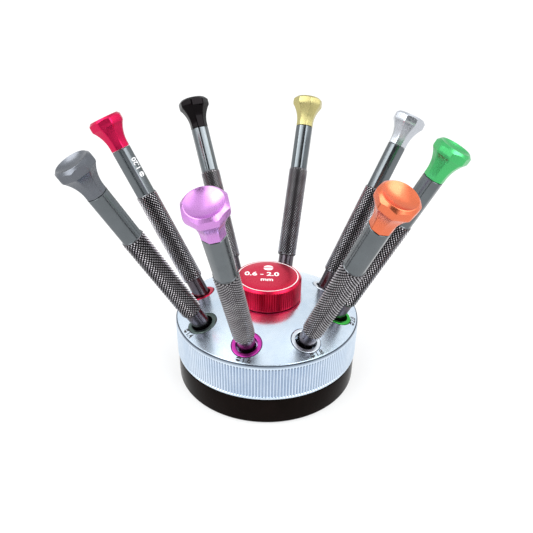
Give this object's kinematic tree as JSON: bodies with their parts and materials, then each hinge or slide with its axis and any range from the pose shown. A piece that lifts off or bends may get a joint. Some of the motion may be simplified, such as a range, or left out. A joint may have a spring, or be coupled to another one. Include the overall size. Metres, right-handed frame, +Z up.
{
  "type": "precision screwdriver set",
  "caption": "Precision screwdrivers with knurled steel handles and coloured swivel heads, leaning outwards in a domed turntable on a round base, with a screw cap over a spare-blade well.",
  "frame": {"origin": "centre of the flat rubber foot's underside, on the turntable's axis", "axes": "+Z up along the turntable's axis; -Y towards the front, where two drivers stand either side of the middle"},
  "size_m": [0.1515, 0.1566, 0.117],
  "materials": {
    "base_black": "gloss black lacquer",
    "foot_rubber": "matt",
    "bearing_steel": "ground",
    "table_aluminium": "fine satin anodised, pale blue-silver",
    "cap_red": "satin crimson anodised",
    "liner_foam": "matt",
    "rack_plastic": "moulded",
    "handle_steel": "satin gunmetal, knurled grip",
    "blade_steel": "ground",
    "head_white": "bright anodised",
    "head_gold": "bright anodised",
    "head_black": "bright anodised",
    "head_red": "bright anodised",
    "head_grey": "bright anodised",
    "head_purple": "bright anodised",
    "head_orange": "bright anodised",
    "head_green": "bright anodised",
    "bush_white": "bright anodised",
    "bush_gold": "bright anodised",
    "bush_black": "bright anodised",
    "bush_red": "bright anodised",
    "bush_grey": "bright anodised",
    "bush_purple": "bright anodised",
    "bush_orange": "bright anodised",
    "bush_green": "bright anodised"
  },
  "bodies": {
    "base": {"base_housing": "base_black", "foot_pad": "foot_rubber", "spindle": "bearing_steel", "spindle_screw": "bearing_steel", "bearing_inner_ring": "bearing_steel"},
    "bearing_cage": {"bearing_cage": "bearing_steel"},
    "turntable": {"turntable": "table_aluminium", "bearing_outer_ring": "bearing_steel", "blade_rack": "rack_plastic", "spare_blades": "blade_steel", "socket_bush_1": "bush_white", "socket_bush_2": "bush_gold", "socket_bush_3": "bush_black", "socket_bush_4": "bush_red", "socket_bush_5": "bush_grey", "socket_bush_6": "bush_purple", "socket_bush_7": "bush_orange", "socket_bush_8": "bush_green"},
    "cap_liner": {"cap_liner": "liner_foam"},
    "cap": {"cap": "cap_red"},
    "driver_1": {"handle_1": "handle_steel", "pivot_pin_1": "bearing_steel", "blade_1": "blade_steel", "set_screw_1": "blade_steel"},
    "head_1": {"swivel_head_1": "head_white"},
    "driver_2": {"handle_2": "handle_steel", "pivot_pin_2": "bearing_steel", "blade_2": "blade_steel", "set_screw_2": "blade_steel"},
    "head_2": {"swivel_head_2": "head_gold"},
    "driver_3": {"handle_3": "handle_steel", "pivot_pin_3": "bearing_steel", "blade_3": "blade_steel", "set_screw_3": "blade_steel"},
    "head_3": {"swivel_head_3": "head_black"},
    "driver_4": {"handle_4": "handle_steel", "pivot_pin_4": "bearing_steel", "blade_4": "blade_steel", "set_screw_4": "blade_steel"},
    "head_4": {"swivel_head_4": "head_red"},
    "driver_5": {"handle_5": "handle_steel", "pivot_pin_5": "bearing_steel", "blade_5": "blade_steel", "set_screw_5": "blade_steel"},
    "head_5": {"swivel_head_5": "head_grey"},
    "driver_6": {"handle_6": "handle_steel", "pivot_pin_6": "bearing_steel", "blade_6": "blade_steel", "set_screw_6": "blade_steel"},
    "head_6": {"swivel_head_6": "head_purple"},
    "driver_7": {"handle_7": "handle_steel", "pivot_pin_7": "bearing_steel", "blade_7": "blade_steel", "set_screw_7": "blade_steel"},
    "head_7": {"swivel_head_7": "head_orange"},
    "driver_8": {"handle_8": "handle_steel", "pivot_pin_8": "bearing_steel", "blade_8": "blade_steel", "set_screw_8": "blade_steel"},
    "head_8": {"swivel_head_8": "head_green"}
  },
  "joints": [
    {"name": "turntable_spin", "type": "hinge", "parent": "base", "child": "turntable", "pos_m": [0, 0, 0.0183], "axis": [0, 0, 1], "continuous": true},
    {"name": "cage_spin", "type": "hinge", "parent": "base", "child": "bearing_cage", "pos_m": [0, 0, 0.0183], "axis": [0, 0, 1], "continuous": true},
    {"name": "cap_lift", "type": "slide", "parent": "turntable", "child": "cap_liner", "axis": [0, 0, 1], "range_m": [0, 0.0063]},
    {"name": "cap_turn", "type": "hinge", "parent": "cap_liner", "child": "cap", "pos_m": [0, 0, 0.0442], "axis": [0, 0, 1], "range_deg": [0, 1800]},
    {"name": "driver_1_lift", "type": "slide", "parent": "turntable", "child": "driver_1", "axis": [0.3956, 0.2352, 0.8878], "range_m": [0, 0.03]},
    {"name": "head_1_swivel", "type": "hinge", "parent": "driver_1", "child": "head_1", "pos_m": [0.05717, 0.03445, 0.10043], "axis": [0.3956, 0.2352, 0.8878], "continuous": true},
    {"name": "driver_2_lift", "type": "slide", "parent": "turntable", "child": "driver_2", "axis": [0.1089, 0.4646, 0.8788], "range_m": [0, 0.03]},
    {"name": "head_2_swivel", "type": "hinge", "parent": "driver_2", "child": "head_2", "pos_m": [0.01566, 0.06641, 0.09965], "axis": [0.1089, 0.4646, 0.8788], "continuous": true},
    {"name": "driver_3_lift", "type": "slide", "parent": "turntable", "child": "driver_3", "axis": [-0.26, 0.4093, 0.8746], "range_m": [0, 0.03]},
    {"name": "head_3_swivel", "type": "hinge", "parent": "driver_3", "child": "head_3", "pos_m": [-0.03663, 0.05837, 0.09927], "axis": [-0.26, 0.4093, 0.8746], "continuous": true},
    {"name": "driver_4_lift", "type": "slide", "parent": "turntable", "child": "driver_4", "axis": [-0.4408, 0.1086, 0.891], "range_m": [0, 0.03]},
    {"name": "head_4_swivel", "type": "hinge", "parent": "driver_4", "child": "head_4", "pos_m": [-0.06432, 0.01564, 0.10072], "axis": [-0.4408, 0.1086, 0.891], "continuous": true},
    {"name": "driver_5_lift", "type": "slide", "parent": "turntable", "child": "driver_5", "axis": [-0.4288, -0.2249, 0.875], "range_m": [0, 0.03]},
    {"name": "head_5_swivel", "type": "hinge", "parent": "driver_5", "child": "head_5", "pos_m": [-0.06008, -0.03354, 0.09931], "axis": [-0.4288, -0.2249, 0.875], "continuous": true},
    {"name": "driver_6_lift", "type": "slide", "parent": "turntable", "child": "driver_6", "axis": [-0.1026, -0.4534, 0.8854], "range_m": [0, 0.03]},
    {"name": "head_6_swivel", "type": "hinge", "parent": "driver_6", "child": "head_6", "pos_m": [-0.01511, -0.06543, 0.10022], "axis": [-0.1026, -0.4534, 0.8854], "continuous": true},
    {"name": "driver_7_lift", "type": "slide", "parent": "turntable", "child": "driver_7", "axis": [0.2622, -0.3862, 0.8844], "range_m": [0, 0.03]},
    {"name": "head_7_swivel", "type": "hinge", "parent": "driver_7", "child": "head_7", "pos_m": [0.03682, -0.05634, 0.10013], "axis": [0.2622, -0.3862, 0.8844], "continuous": true},
    {"name": "driver_8_lift", "type": "slide", "parent": "turntable", "child": "driver_8", "axis": [0.4247, -0.0815, 0.9017], "range_m": [0, 0.03]},
    {"name": "head_8_swivel", "type": "hinge", "parent": "driver_8", "child": "head_8", "pos_m": [0.06291, -0.01325, 0.10165], "axis": [0.4247, -0.0815, 0.9017], "continuous": true}
  ],
  "couplings": [
    {"joint": "cage_spin", "follows": "turntable_spin", "ratio": 0.63},
    {"joint": "cap_lift", "follows": "cap_turn", "m_per_rad": 0.00019894}
  ]
}
